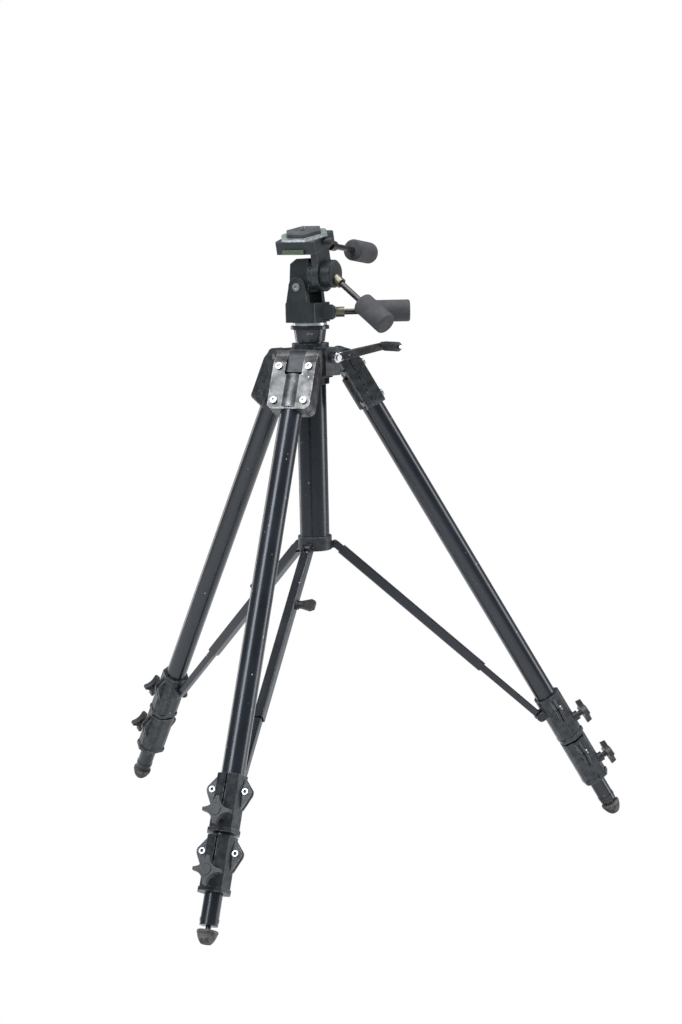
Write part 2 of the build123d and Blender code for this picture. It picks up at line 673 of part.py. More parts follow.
with BuildPart() as crank_grip:
    with BuildSketch(grip_plane.offset(arm_thickness / 2 + seat)):
        Circle(crank_grip_r)
        Circle(2.5 + running, mode=Mode.SUBTRACT)
    extrude(amount=crank_grip_length)
    fillet(crank_grip.edges().filter_by(GeomType.CIRCLE).group_by(SortBy.RADIUS)[-1], 1.5)
place(crank_grip.part, "crank_grip")

# ---------------------------------------------------------------- head
head_x = Vector(1, 0, 0).rotate(Axis.Z, head_azimuth)
head_frame = Plane(origin=(0, column_y, 0), x_dir=head_x, z_dir=(0, 0, 1))


def on_head(piece, name):
    """Write a piece that was modelled in the head's frame: X along the tilt drum, Z up."""
    save(piece.moved(head_frame.location), name)


def handle_axis(start, azimuth, elevation):
    """Plane across a handle's rod, at the rod's root."""
    direction = Vector(math.cos(math.radians(elevation)), 0, math.sin(math.radians(elevation)))
    return Plane(origin=start, z_dir=direction.rotate(Axis.Z, azimuth))


def handle(axis_plane, bushing_at, grip_at):
    """Lock handle: steel rod with a brass bushing near its root and a soft cylindrical grip."""
    with BuildPart() as lever:
        with BuildSketch(axis_plane):
            Circle(handle_rod_r)
        extrude(amount=grip_at)
        with BuildSketch(axis_plane.offset(bushing_at)):
            Circle(bushing_r)
        extrude(amount=bushing_length)
        with BuildSketch(axis_plane.offset(grip_at)):
            Circle(grip_r)
        extrude(amount=grip_length)
        fillet(lever.edges().filter_by(GeomType.CIRCLE).group_by(SortBy.RADIUS)[-1], 3)
    return lever.part


def handle_socket(axis_plane, bushing_at):
    """The bore and the bushing recess that a handle turns in."""
    with BuildPart() as socket:
        with BuildSketch(axis_plane.offset(-seat)):
            Circle(handle_rod_r + running)
        extrude(amount=bushing_at + bushing_length)
        with BuildSketch(axis_plane.offset(bushing_at - seat)):
            Circle(bushing_r + seat)
        extrude(amount=2 * bushing_length)
    return socket.part


side_handle_x, side_handle_y = 22.0, 14.0
tilt_bushing_at, side_bushing_at = 6.0, 8.0
tilt_handle_axis = handle_axis(Vector(cap_x1 - 5, 0, drum_z - 3), -14.1, -34.0)
side_handle_axis = handle_axis(Vector(side_handle_x, side_handle_y, drum_z + platform_rise + 4), 90.0, -7.0)
tilt_grip_at, side_grip_at, pan_grip_at = 63.0, 73.0, 60.0

boss_azimuth = 29.4
boss_dir = Vector(1, 0, 0).rotate(Axis.Z, boss_azimuth)
boss_z = pan_z0 + pan_height / 2 - 0.25
boss_base = Vector(12, 6, boss_z)
boss_plane = Plane(origin=boss_base, x_dir=(0, 0, 1), z_dir=boss_dir)
boss_reach, boss_r, boss_nose = 22.0, 10.0, 4.0
with BuildPart() as pan_housing:
    with BuildSketch(Plane.XY.offset(pan_z0)):
        with Locations((-3, 0)):
            RectangleRounded(pan_width, 2 * yoke_outer, 6)
    extrude(amount=pan_z1 - pan_z0)
    with BuildSketch(Plane.XZ):
        with Locations((yoke_x, yoke_z)):
            Circle(yoke_ear_r)
        with BuildLine():
            Polyline((yoke_x - yoke_ear_r - 5, pan_z1 - 4), (yoke_x - yoke_ear_r, yoke_z),
                     (yoke_x + yoke_ear_r, yoke_z), (yoke_x + yoke_ear_r + 3, pan_z1 - 4), close=True)
        make_face()
    extrude(amount=yoke_outer, both=True)
    with BuildSketch(Plane.XZ):
        with Locations((0, pan_z1 + 2 * yoke_outer)):
            Rectangle(4 * yoke_outer, 4 * yoke_outer)
    extrude(amount=yoke_inner, both=True, mode=Mode.SUBTRACT)
    with BuildSketch(boss_plane):
        RectangleRounded(2 * boss_r, 2.3 * boss_r, 3)
    extrude(amount=boss_reach - boss_nose)
    with BuildSketch(boss_plane.offset(boss_reach - boss_nose)):
        RectangleRounded(2 * boss_r, 2.3 * boss_r, 3)
    extrude(amount=boss_nose, taper=35)
    with BuildSketch(boss_plane.offset(boss_reach - 10)):
        Circle(handle_rod_r + running)
    extrude(amount=10, mode=Mode.SUBTRACT)
    with BuildSketch(Plane.XZ):
        with Locations((yoke_x, yoke_z)):
            Circle(yoke_pin_r + running)
    extrude(amount=yoke_outer, both=True, mode=Mode.SUBTRACT)
on_head(pan_housing.part, "pan_housing")

block_r = 12.0
block_shoulder, block_rise, block_fall = 14.0, 21.0, 20.0
cap_seat, cap_bevel, drum_ribs = 4.0, 2.5, 18
with BuildPart() as tilt_block:
    with BuildSketch(Plane.XZ):
        with Locations((yoke_x, yoke_z)):
            Circle(block_r)
        Polygon((block_x0, yoke_z), (block_x0 + 2, drum_z + block_shoulder),
                (block_x0 + 12, drum_z + block_rise), (drum_x0, drum_z + block_rise),
                (drum_x0, drum_z - block_fall), (yoke_x, yoke_z - block_r), align=None)
    extrude(amount=yoke_inner - seat, both=True)
    with BuildSketch(Plane.YZ.offset(drum_x0)):
        with Locations((0, drum_z)):
            Circle(drum_r)
    extrude(amount=drum_x1 - drum_x0)
    with BuildSketch(Plane.YZ.offset(drum_x0 + 2)):
        with Locations((0, drum_z)):
            with PolarLocations(drum_r, drum_ribs):
                Circle(1.2)
    extrude(amount=drum_x1 - drum_x0 - 3, mode=Mode.SUBTRACT)
    with BuildSketch(Plane.YZ.offset(drum_x1)):
        with Locations((0, drum_z)):
            Circle(drum_shaft_r)
    extrude(amount=cap_x0 + cap_seat - drum_x1)
    with BuildSketch(Plane.XZ):
        with Locations((yoke_x, yoke_z)):
            Circle(yoke_pin_r)
    extrude(amount=yoke_outer - 1, both=True)
    for side in (-1, 1):
        with BuildSketch(Plane(origin=(yoke_x, side * (yoke_outer + seat), yoke_z), z_dir=(0, side, 0))):
            Circle(yoke_pin_r + 1.5)
            RegularPolygon(socket_r, 6, mode=Mode.SUBTRACT)
        extrude(amount=socket_depth)
        with BuildSketch(Plane(origin=(yoke_x, side * (yoke_outer - 1), yoke_z), z_dir=(0, side, 0))):
            Circle(yoke_pin_r)
        extrude(amount=1 + seat)
    # clamp cap that closes the drum
    with BuildSketch(Plane.XZ):
        Polygon((cap_x0, drum_z), (cap_x0, drum_z + cap_r), (cap_x1 - cap_bevel, drum_z + cap_r),
                (cap_x1, drum_z + cap_r - cap_bevel), (cap_x1, drum_z), align=None)
    revolve(axis=Axis((0, 0, drum_z), (1, 0, 0)))
    add(handle_socket(tilt_handle_axis, tilt_bushing_at), mode=Mode.SUBTRACT)
on_head(tilt_block.part, "tilt_block")

tilt = math.radians(platform_tilt)
plate_plane = Plane(origin=(0, 0, drum_z), x_dir=(1, 0, 0), z_dir=(0, -math.sin(tilt), math.cos(tilt)))
plate_top = platform_rise + platform_thickness
vial_r, vial_length, vial_x = 3.5, 32.0, 0.0
lever_rise = platform_rise + 0.6 * platform_thickness
with BuildPart() as platform:
    with BuildSketch(plate_plane.offset(platform_rise)):
        with Locations((platform_x, 0)):
            RectangleRounded(platform_size, platform_size, 3)
    extrude(amount=platform_thickness)
    chamfer(platform.faces().sort_by(Axis.Z)[-1].edges(), 1)
    with BuildSketch(Plane.YZ.offset(disc_x0)):
        with Locations((0, drum_z)):
            Circle(disc_r)
    extrude(amount=disc_x1 - disc_x0)
    with BuildSketch(plate_plane):
        with Locations(((disc_x0 + disc_x1) / 2, 0)):
            Rectangle(disc_x1 - disc_x0, 1.5 * disc_r)
    extrude(amount=platform_rise + 1)
    with BuildSketch(Plane.YZ.offset(disc_x0)):
        with Locations((0, drum_z)):
            Circle(drum_shaft_r + running)
    extrude(amount=disc_x1 - disc_x0, mode=Mode.SUBTRACT)
    with BuildSketch(plate_plane.offset(platform_rise)):
        with Locations((platform_x, 0)):
            Rectangle(12, 12)
    extrude(amount=platform_thickness, mode=Mode.SUBTRACT)
    add(handle_socket(side_handle_axis, side_bushing_at), mode=Mode.SUBTRACT)
on_head(platform.part, "platform")

front_face = plate_plane.origin + plate_plane.y_dir * (-platform_size / 2)
with BuildPart() as level_vial:
    with BuildSketch(Plane(origin=front_face + plate_plane.z_dir * (platform_rise + vial_r)
                           + Vector(vial_x - vial_length / 2, -1.2, 0), z_dir=(1, 0, 0))):
        Circle(vial_r)
    extrude(amount=vial_length)
level_vial_clear = level_vial.part - platform.part
on_head(level_vial_clear, "level_vial")


pan_handle_start = boss_base + boss_dir * (boss_reach - 9)
pan_handle = handle(handle_axis(pan_handle_start, boss_azimuth, 0.0), 9 + seat, pan_grip_at)
on_head(pan_handle, "pan_handle")

on_head(handle(tilt_handle_axis, tilt_bushing_at, tilt_grip_at), "tilt_handle")
on_head(handle(side_handle_axis, side_bushing_at, side_grip_at), "side_handle")

with BuildPart() as qr_lever:
    with BuildSketch(Plane(origin=plate_plane.origin + plate_plane.z_dir * lever_rise
                           + Vector(platform_x + platform_size / 2 + seat, 0, 0), z_dir=(1, 0, 0))):
        Circle(4.5)
    extrude(amount=12)
    fillet(qr_lever.faces().sort_by(Axis.X)[-1].edges(), 1)
on_head(qr_lever.part, "qr_lever")

hex_corner = 2 / math.sqrt(3)
with BuildPart() as quick_release_tray:
    with BuildSketch(plate_plane.offset(plate_top)):
        with Locations((platform_x, 0)):
            RegularPolygon(hex_corner * tray_flats / 2, 6)
    extrude(amount=tray_height)
    with BuildSketch(plate_plane.offset(plate_top)):
        with Locations((platform_x, 0)):
            RegularPolygon(hex_corner * (plate_flats / 2 + seat), 6)
    extrude(amount=tray_height, mode=Mode.SUBTRACT)
on_head(quick_release_tray.part, "quick_release_tray")

screw_bore_r = stud_r + running
screw_head = 11.0
with BuildPart() as quick_release_plate:
    with BuildSketch(plate_plane.offset(plate_top)):
        with Locations((platform_x, 0)):
            RegularPolygon(hex_corner * plate_flats / 2, 6)
    extrude(amount=tray_height + plate_height)
    chamfer(quick_release_plate.faces().sort_by(Axis.Z)[-1].edges(), 1.2)
    with BuildSketch(plate_plane.offset(plate_top)):
        with Locations((platform_x, 0)):
            Circle(screw_bore_r)
    extrude(amount=tray_height + plate_height, mode=Mode.SUBTRACT)
    with BuildSketch(plate_plane.offset(plate_top)):
        with Locations((platform_x, 0)):
            Circle(screw_head / 2 + seat)
    extrude(amount=4, mode=Mode.SUBTRACT)
on_head(quick_release_plate.part, "quick_release_plate")

with BuildPart() as camera_screw:
    with BuildSketch(plate_plane.offset(plate_top + seat)):
        with Locations((platform_x, 0)):
            Circle(screw_head / 2)
    extrude(amount=3.2)
    with BuildSketch(plate_plane.offset(plate_top + seat)):
        with Locations((platform_x, 0)):
            Circle(stud_neck_r)
    extrude(amount=tray_height + plate_height - seat + neck_proud)
    with BuildSketch(plate_plane.offset(plate_top + tray_height + plate_height + neck_proud)):
        with Locations((platform_x, 0)):
            Circle(stud_r)
    extrude(amount=stud_proud)
    with BuildSketch(plate_plane.offset(plate_top + seat)):
        with Locations((platform_x, 0)):
            Rectangle(screw_head, 1.2)
    extrude(amount=1.2, mode=Mode.SUBTRACT)
on_head(camera_screw.part, "camera_screw")
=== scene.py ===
"""Look of a full-size camera tripod with a three-way head, on the solids of its CAD frame.

Paints the CAD nodes, adds the small parts that the CAD leaves out (the knobs' stars, the clamps'
ears, the ribbed feet, the tray's skirt and two set screws), and sets floor, light and camera.
Lengths are in metres.
"""
import json
import math

import bpy
from mathutils import Matrix, Vector


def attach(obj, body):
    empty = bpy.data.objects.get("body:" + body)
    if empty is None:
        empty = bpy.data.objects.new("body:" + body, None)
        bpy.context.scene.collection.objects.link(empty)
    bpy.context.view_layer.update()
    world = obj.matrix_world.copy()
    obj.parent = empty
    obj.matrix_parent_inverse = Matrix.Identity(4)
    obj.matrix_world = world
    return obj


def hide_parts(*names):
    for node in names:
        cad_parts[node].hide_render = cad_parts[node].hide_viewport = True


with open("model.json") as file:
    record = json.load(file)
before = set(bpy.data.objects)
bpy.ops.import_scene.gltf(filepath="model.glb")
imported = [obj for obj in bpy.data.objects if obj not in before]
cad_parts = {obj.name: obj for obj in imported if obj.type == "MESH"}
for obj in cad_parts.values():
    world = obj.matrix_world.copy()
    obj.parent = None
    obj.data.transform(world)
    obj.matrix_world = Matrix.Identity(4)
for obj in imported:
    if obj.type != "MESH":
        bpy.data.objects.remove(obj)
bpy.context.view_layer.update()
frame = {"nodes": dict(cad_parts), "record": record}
nodes = frame["nodes"]
record = frame["record"]
joints = {joint["name"]: joint for joint in record["behaviour"]["joints"]}
LEGS = ("front", "right", "left")

# ------------------------------------------------------------------ material helpers
COAT_ROUGHNESS, ROUGH_SPREAD, GRAIN_STRENGTH = 0.12, 0.05, 0.6
WEAR_WIDTH = 0.0016                      # how far the wear reaches in from an edge
RUB_SCALE, MARK_SCALE = 180.0, 220.0     # features per metre of the wear and of the small marks


def new_material(name):
    """Empty node material: returns it with its tree, shader and object-space coordinates."""
    material = bpy.data.materials.new(name)
    material.use_nodes = True
    tree = material.node_tree
    shader = tree.nodes["Principled BSDF"]
    coords = tree.nodes.new("ShaderNodeTexCoord")
    return material, tree, shader, coords.outputs["Object"]


def noise(tree, coords, scale, detail=4.0, rough=0.55):
    """Noise texture in object space; scale is in features per metre."""
    node = tree.nodes.new("ShaderNodeTexNoise")
    node.inputs["Scale"].default_value = scale
    node.inputs["Detail"].default_value = detail
    node.inputs["Roughness"].default_value = rough
    tree.links.new(coords, node.inputs["Vector"])
    return node.outputs["Fac"]


def ramp(tree, value, stops):
    """Colour ramp with (position, grey or rgb) stops."""
    node = tree.nodes.new("ShaderNodeValToRGB")
    elements = node.color_ramp.elements
    while len(elements) < len(stops):
        elements.new(0.5)
    for element, (position, colour) in zip(elements, stops):
        rgb = (colour,) * 3 if isinstance(colour, (int, float)) else colour
        element.position = position
        element.color = (*rgb, 1.0)
    tree.links.new(value, node.inputs["Fac"])
    return node.outputs["Color"]


def mix(tree, factor, first, second):
    """Mix two colours (tuples or sockets) by a socket or number."""
    node = tree.nodes.new("ShaderNodeMix")
    node.data_type = "RGBA"
    sockets = node.inputs["Factor"], node.inputs[6], node.inputs[7]
    for socket, value in zip(sockets, (factor, first, second)):
        if isinstance(value, bpy.types.NodeSocket):
            tree.links.new(value, socket)
        elif isinstance(value, tuple):
            socket.default_value = (*value, 1.0)
        else:
            socket.default_value = value
    return node.outputs[2]


def bump(tree, shader, height, strength, distance):
    """Bump from a height socket, with the distance in metres."""
    node = tree.nodes.new("ShaderNodeBump")
    node.inputs["Strength"].default_value = strength
    node.inputs["Distance"].default_value = distance
    tree.links.new(height, node.inputs["Height"])
    tree.links.new(node.outputs["Normal"], shader.inputs["Normal"])


def edge_wear(tree, width):
    """Socket that is 1 within a width, in metres, of a sharp edge and 0 on flats."""
    rounded = tree.nodes.new("ShaderNodeBevel")
    rounded.samples = 4
    rounded.inputs["Radius"].default_value = width
    geometry = tree.nodes.new("ShaderNodeNewGeometry")
    same = tree.nodes.new("ShaderNodeVectorMath")
    same.operation = "DOT_PRODUCT"
    tree.links.new(rounded.outputs["Normal"], same.inputs[0])
    tree.links.new(geometry.outputs["Normal"], same.inputs[1])
    return ramp(tree, same.outputs["Value"], ((0.82, 1.0), (0.985, 0.0)))


def specks(tree, coords, scale, share):
    """Small scattered marks: 1 inside a mark, on a share of the cells."""
    size = 0.28     # a mark's radius, as a share of a cell
    cells = tree.nodes.new("ShaderNodeTexVoronoi")
    cells.inputs["Scale"].default_value = scale
    tree.links.new(coords, cells.inputs["Vector"])
    near = ramp(tree, cells.outputs["Distance"], ((size * 0.8, 1.0), (size, 0.0)))
    split = tree.nodes.new("ShaderNodeSeparateColor")
    tree.links.new(cells.outputs["Color"], split.inputs[0])
    chosen = ramp(tree, split.outputs[0], ((1.0 - share, 0.0), (1.0 - share + 0.01, 1.0)))
    return mix(tree, chosen, (0.0, 0.0, 0.0), near)


def finish(name, dark, light, roughness, metallic=0.0, scale=60.0, grain=900.0, grain_depth=0.0,
           wear=None, wear_amount=0.0, marks=0.0, coat=0.0):
    """Painted, moulded or metal surface with colour drift, grain, worn edges and small marks."""
    material, tree, shader, coords = new_material(name)
    drift = noise(tree, coords, scale)
    colour = mix(tree, ramp(tree, drift, ((0.35, 0.0), (0.65, 1.0))), dark, light)
    if wear and wear_amount:
        rubbed = ramp(tree, noise(tree, coords, RUB_SCALE), ((0.42, 0.0), (0.62, wear_amount)))
        worn = mix(tree, edge_wear(tree, WEAR_WIDTH), (0.0, 0.0, 0.0), rubbed)
        colour = mix(tree, worn, colour, wear)
    if marks:
        colour = mix(tree, specks(tree, coords, MARK_SCALE, marks), colour, wear or light)
    tree.links.new(colour, shader.inputs["Base Color"])
    rough = ramp(tree, noise(tree, coords, scale * 2.3),
                 ((0.25, roughness - ROUGH_SPREAD), (0.75, roughness + ROUGH_SPREAD)))
    tree.links.new(rough, shader.inputs["Roughness"])
    shader.inputs["Metallic"].default_value = metallic
    shader.inputs["Coat Weight"].default_value = coat
    shader.inputs["Coat Roughness"].default_value = COAT_ROUGHNESS
    if grain_depth:
        bump(tree, shader, noise(tree, coords, grain), GRAIN_STRENGTH, grain_depth)
    return material


# ------------------------------------------------------------------ materials
tube_black = finish("tube_black", (0.005, 0.007, 0.011), (0.010, 0.014, 0.021), 0.27,
                    metallic=0.1, scale=14.0, wear=(0.34, 0.35, 0.36), marks=0.018, coat=0.4)
casting_black = finish("casting_black", (0.012, 0.014, 0.016), (0.044, 0.048, 0.052), 0.38,
                       metallic=0.15, scale=110.0, grain=1400.0, grain_depth=0.00015,
                       wear=(0.36, 0.37, 0.37), wear_amount=0.8, marks=0.012)
head_black = finish("head_black", (0.016, 0.021, 0.022), (0.028, 0.034, 0.035), 0.38,
                    metallic=0.1, scale=40.0, grain=1600.0, grain_depth=0.00012,
                    wear=(0.30, 0.32, 0.32), wear_amount=0.6, marks=0.008)
# front bracket only: lighter and more metallic than the other brackets' casting; its light patchy
# tone is partly worn paint and partly painted sheen of its lit face
worn_and_sheen_casting = finish("worn_and_sheen_casting", (0.045, 0.044, 0.043), (0.19, 0.186, 0.182), 0.33,
                      metallic=0.6, scale=55.0, grain=1200.0, grain_depth=0.00015,
                      wear=(0.55, 0.54, 0.53), wear_amount=1.0, marks=0.03)
crank_worn = finish("crank_worn", (0.014, 0.014, 0.015), (0.045, 0.045, 0.046), 0.34,
                    metallic=0.35, scale=90.0, wear=(0.62, 0.62, 0.62), wear_amount=1.0,
                    marks=0.05)
cup_black = finish("cup_black", (0.008, 0.009, 0.014), (0.014, 0.016, 0.024), 0.22, scale=30.0,
                   wear=(0.5, 0.5, 0.52), marks=0.01, coat=0.4)
steel = finish("bright_steel", (0.40, 0.40, 0.39), (0.58, 0.58, 0.57), 0.34,
               metallic=1.0, scale=400.0)
ring_steel = finish("ring_steel", (0.66, 0.68, 0.68), (0.80, 0.81, 0.80), 0.30,
                    metallic=0.9, scale=120.0)
dark_steel = finish("dark_steel", (0.030, 0.027, 0.026), (0.060, 0.055, 0.052), 0.26,
                    metallic=0.6, scale=120.0, wear=(0.5, 0.48, 0.45), marks=0.02)
chrome = finish("worn_chrome", (0.30, 0.30, 0.31), (0.62, 0.62, 0.63), 0.24,
                metallic=1.0, scale=300.0)
brass = finish("old_brass", (0.13, 0.118, 0.085), (0.22, 0.20, 0.15), 0.38,
               metallic=0.85, scale=350.0)
foam = finish("grip_foam", (0.045, 0.045, 0.047), (0.066, 0.065, 0.067), 0.78,
              scale=70.0, grain=2600.0, grain_depth=0.0003)
foot_rubber = finish("foot_rubber", (0.05, 0.048, 0.044), (0.17, 0.165, 0.15), 0.72,
                     scale=170.0, grain=1800.0, grain_depth=0.0003)
plastic = finish("knob_plastic", (0.020, 0.020, 0.021), (0.038, 0.038, 0.039), 0.42,
                 grain=1900.0, grain_depth=0.0001, wear=(0.16, 0.16, 0.17), wear_amount=0.6)
tray_metal = finish("tray_metal", (0.22, 0.25, 0.25), (0.40, 0.43, 0.42), 0.42,
                    metallic=0.6, scale=160.0, wear=(0.9, 0.9, 0.9), wear_amount=0.7)
pad = finish("plate_pad", (0.040, 0.044, 0.045), (0.070, 0.075, 0.075), 0.62,
             grain=1500.0, grain_depth=0.0003, wear=(0.34, 0.35, 0.35), wear_amount=0.5)
vial = finish("vial_green", (0.045, 0.062, 0.040), (0.13, 0.16, 0.10), 0.22, scale=500.0)
# painted shade: a flat black without shine, laid over the set screws' sockets and between the
# ears' halves, for the shade inside these recesses
painted_shade_black = finish("painted_shade_black", (0.002, 0.002, 0.002), (0.004, 0.004, 0.004), 0.8)
painted_shade_black.node_tree.nodes["Principled BSDF"].inputs["Specular IOR Level"].default_value = 0.0


def wear_material(name, *materials):
    """Put materials in a CAD node's slots; returns its mesh."""
    mesh = nodes[name].data
    mesh.materials.clear()
    for material in materials:
        mesh.materials.append(material)
    return mesh


def paint_by(name, materials, choose):
    """Give each face of a CAD node one of the materials, chosen by the face's centre."""
    mesh = wear_material(name, *materials)
    for face in mesh.polygons:
        face.material_index = choose(Vector(face.center))


def off_axis(joint_name):
    """Function that gives a point's distance from a joint's axis, and its place along it."""
    joint = joints[joint_name]
    origin, axis = Vector(joint["pos_m"]), Vector(joint["axis"]).normalized()

    def measure(point):
        along = (point - origin).dot(axis)
        return (point - origin - axis * along).length, along
    return measure


BY_END = {
    "bracket": casting_black, "bracket_fasteners": steel, "upper_tube": tube_black,
    "middle_tube": tube_black, "lower_tube": tube_black, "upper_clamp": casting_black,
    "lower_clamp": casting_black, "upper_knob": plastic, "lower_knob": plastic,
    "brace_outer": tube_black, "brace_inner": tube_black, "brace_knob": plastic,
    "foot": foot_rubber,
}
for leg in LEGS:
    for end, material in BY_END.items():
        wear_material(f"{leg}_leg_{end}", material)
# the front bracket alone gets the lighter casting: partly worn paint, partly painted sheen where
# its face catches the light
wear_material("front_leg_bracket", worn_and_sheen_casting)

SINGLE = {
    "crown": casting_black, "column_sleeve": tube_black, "brace_hub": casting_black,
    "column_tube": tube_black, "column_rack": steel, "column_platform": cup_black,
    "head_base_ring": ring_steel, "crank_shaft": chrome, "crank_grip": plastic,
    "pan_housing": head_black, "tilt_block": head_black, "platform": head_black,
    "level_vial": vial, "qr_lever": plastic, "quick_release_tray": tray_metal,
    "quick_release_plate": pad, "camera_screw": steel,
}
for name, material in SINGLE.items():
    wear_material(name, material)

# handles: bushing, rod and foam grip
BUSHING_INSIDE, GRIP_INSIDE, GRIP_MARGIN = 0.0052, 0.0105, 0.0005


def handle_part(measure, corners):
    """Function that names a handle's part: 0 for the rod, 1 for the bushing, 2 for the grip."""
    spots = [measure(corner.co) for corner in corners]
    grip_start = min(along for radius, along in spots if radius > GRIP_INSIDE)

    def choose(centre):
        radius, along = measure(centre)
        if along > grip_start - GRIP_MARGIN:
            return 2
        return int(radius > BUSHING_INSIDE)
    return choose


for name in ("pan_handle", "tilt_handle", "side_handle"):
    bushing = dark_steel if name == "side_handle" else brass
    chooser = handle_part(off_axis(f"{name}_turn"), nodes[name].data.vertices)
    paint_by(name, (dark_steel, bushing, foam), chooser)

# crank arm: its clevis and the stub under the grip are bare metal
HUB_LIMIT, STUB_LIMIT, STUB_FROM = 0.0079, 0.0027, 0.03
crank_measure, grip_measure = off_axis("crank_turn"), off_axis("crank_grip_spin")
arm_mesh = wear_material("crank_arm", chrome, crank_worn)
for face in arm_mesh.polygons:
    radius, along = grip_measure(Vector(face.center))
    stub = radius < STUB_LIMIT and along > STUB_FROM
    corners = [arm_mesh.vertices[corner].co for corner in face.vertices]
    in_clevis = all(crank_measure(corner)[0] < HUB_LIMIT for corner in corners)
    face.material_index = 0 if stub or in_clevis else 1

# tilt block: the screws in the two faces of the yoke
SCREW_LIMIT, YOKE_FACE = 0.0057, 0.0252
tilt_measure = off_axis("side_tilt")


def yoke_screw(centre):
    """1 on a yoke screw, 0 on the casting."""
    radius, along = tilt_measure(centre)
    return int(radius < SCREW_LIMIT and abs(along) > YOKE_FACE)


paint_by("tilt_block", (head_black, steel), yoke_screw)


def leg_axes(leg):
    """Hinge point, outward normal, sideways and down-the-leg directions of a leg."""
    fold, slide = joints[f"{leg}_leg_fold"], joints[f"{leg}_leg_middle_slide"]
    down = Vector(slide["axis"]).normalized()
    side = Vector(fold["axis"]).normalized()
    normal = side.cross(down).normalized()
    origin = Vector(fold["pos_m"])
    outward = Vector((origin.x, origin.y - joints["pan_turn"]["pos_m"][1], 0.0))
    if normal.dot(outward) < 0:
        normal = -normal
    return origin, normal, side, down


# clamps: the bright screws in their ears
EAR_SCREW_SIDE, EAR_SCREW_R, EAR_FROM = 0.022, 0.0043, 0.0245
EAR_SCREW_LOW, EAR_SCREW_HIGH = 0.0052, 0.0075
ear_lines = {}
for leg in LEGS:
    origin, normal, side, down = leg_axes(leg)
    for clamp_name in ("upper_clamp", "lower_clamp"):
        mesh = wear_material(f"{leg}_leg_{clamp_name}", casting_black, steel)
        offsets = [Vector(vertex.co) - origin for vertex in mesh.vertices]
        ears = [offset.dot(down) for offset in offsets if abs(offset.dot(side)) > EAR_FROM]
        ear_at = ear_lines[leg, clamp_name] = (min(ears) + max(ears)) / 2
        for face in mesh.polygons:
            offset = Vector(face.center) - origin
            away = math.hypot(abs(offset.dot(side)) - EAR_SCREW_SIDE, offset.dot(down) - ear_at)
            on_head = EAR_SCREW_LOW < offset.dot(normal) < EAR_SCREW_HIGH
            face.material_index = int(on_head and away < EAR_SCREW_R)

# ------------------------------------------------------------------ small surface parts


def solid(name, body, material, points, faces):
    """Mesh piece with one material, that rides on a body."""
    mesh = bpy.data.meshes.new(name)
    mesh.from_pydata([tuple(point) for point in points], [], faces)
    mesh.materials.append(material)
    piece = bpy.data.objects.new(name, mesh)
    bpy.context.scene.collection.objects.link(piece)
    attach(piece, body)
    return piece


def ring_points(radius, count=24):
    """Corners of a regular polygon."""
    turns = [k * math.tau / count for k in range(count)]
    return [(radius * math.cos(turn), radius * math.sin(turn)) for turn in turns]


def prism(name, body, material, base, across, axis, outline, height, top=1.0):
    """Closed prism: an outline of (u, v) points on a base point, raised along an axis.

    The u direction is the one given as across. The outline's upper copy is scaled by top.
    """
    axis, across = Vector(axis).normalized(), Vector(across)
    across = (across - axis * across.dot(axis)).normalized()
    second = axis.cross(across)
    base = Vector(base)
    lower = [base + across * u + second * v for u, v in outline]
    upper = [base + across * (u * top) + second * (v * top) + axis * height for u, v in outline]
    count = len(outline)
    faces = [tuple(reversed(range(count))), tuple(range(count, 2 * count))]
    faces += [(k, (k + 1) % count, count + (k + 1) % count, count + k) for k in range(count)]
    return solid(name, body, material, lower + upper, faces)


def lathe(name, body, material, base, axis, profile, count=48):
    """Solid of revolution: (radius, along) points from one end to the other."""
    axis = Vector(axis).normalized()
    across = axis.orthogonal().normalized()
    second = axis.cross(across)
    points = [Vector(base) + axis * along + across * u + second * v
              for radius, along in profile for u, v in ring_points(radius, count)]
    last = (len(profile) - 1) * count
    faces = [(ring + k, ring + (k + 1) % count, ring + count + (k + 1) % count, ring + count + k)
             for ring in range(0, last, count) for k in range(count)]
    faces += [tuple(reversed(range(count))), tuple(range(last, last + count))]
    return solid(name, body, material, points, faces)


# quick-release tray: the bright hexagonal skirt round the plate
SKIRT_FLATS, SKIRT_HEIGHT, SKIRT_TOP = 0.0312, 0.0026, 0.95
TRAY_HEIGHT, PLATE_HEIGHT = 0.0032, 0.005
lift = Vector(joints["plate_lift"]["axis"]).normalized()
stud = Vector(joints["camera_screw_turn"]["pos_m"])
tilt_axis = Vector(joints["front_tilt"]["axis"]).normalized()
plate_corners = nodes["quick_release_plate"].data.vertices
plate_top = max((Vector(corner.co) - stud).dot(lift) for corner in plate_corners)
deck = stud + lift * (plate_top - PLATE_HEIGHT - TRAY_HEIGHT)
skirt_corner = SKIRT_FLATS * 2 / math.sqrt(3)
prism("tray_skirt", "platform", tray_metal, deck, tilt_axis, lift,
      ring_points(skirt_corner, 6), SKIRT_HEIGHT, top=SKIRT_TOP)

# clamp knobs: a four-pointed star on a stem, with a boss on its front
STAR_TIP, STAR_TIP_HALF, STAR_WAIST, STAR_STEPS, STAR_TOP = 0.0185, 0.0021, 0.0040, 8, 0.94
STAR_PLATE_FROM, STEM_R, STEM_SIDES = 0.010, 0.0040, 20
BOSS_R, BOSS_TOP, BOSS_SIDES = 0.0072, 0.9, 28


def star_outline():
    """Four long points joined by hollow sides."""
    points = []
    for quarter in range(4):
        turn = quarter * math.pi / 2
        for step in range(STAR_STEPS + 1):
            t = step / STAR_STEPS
            first, middle, last = (1 - t) ** 2, 2 * t * (1 - t), t ** 2
            u = first * STAR_TIP + middle * STAR_WAIST + last * STAR_TIP_HALF
            v = first * STAR_TIP_HALF + middle * STAR_WAIST + last * STAR_TIP
            points.append((u * math.cos(turn) - v * math.sin(turn),
                           u * math.sin(turn) + v * math.cos(turn)))
    return points


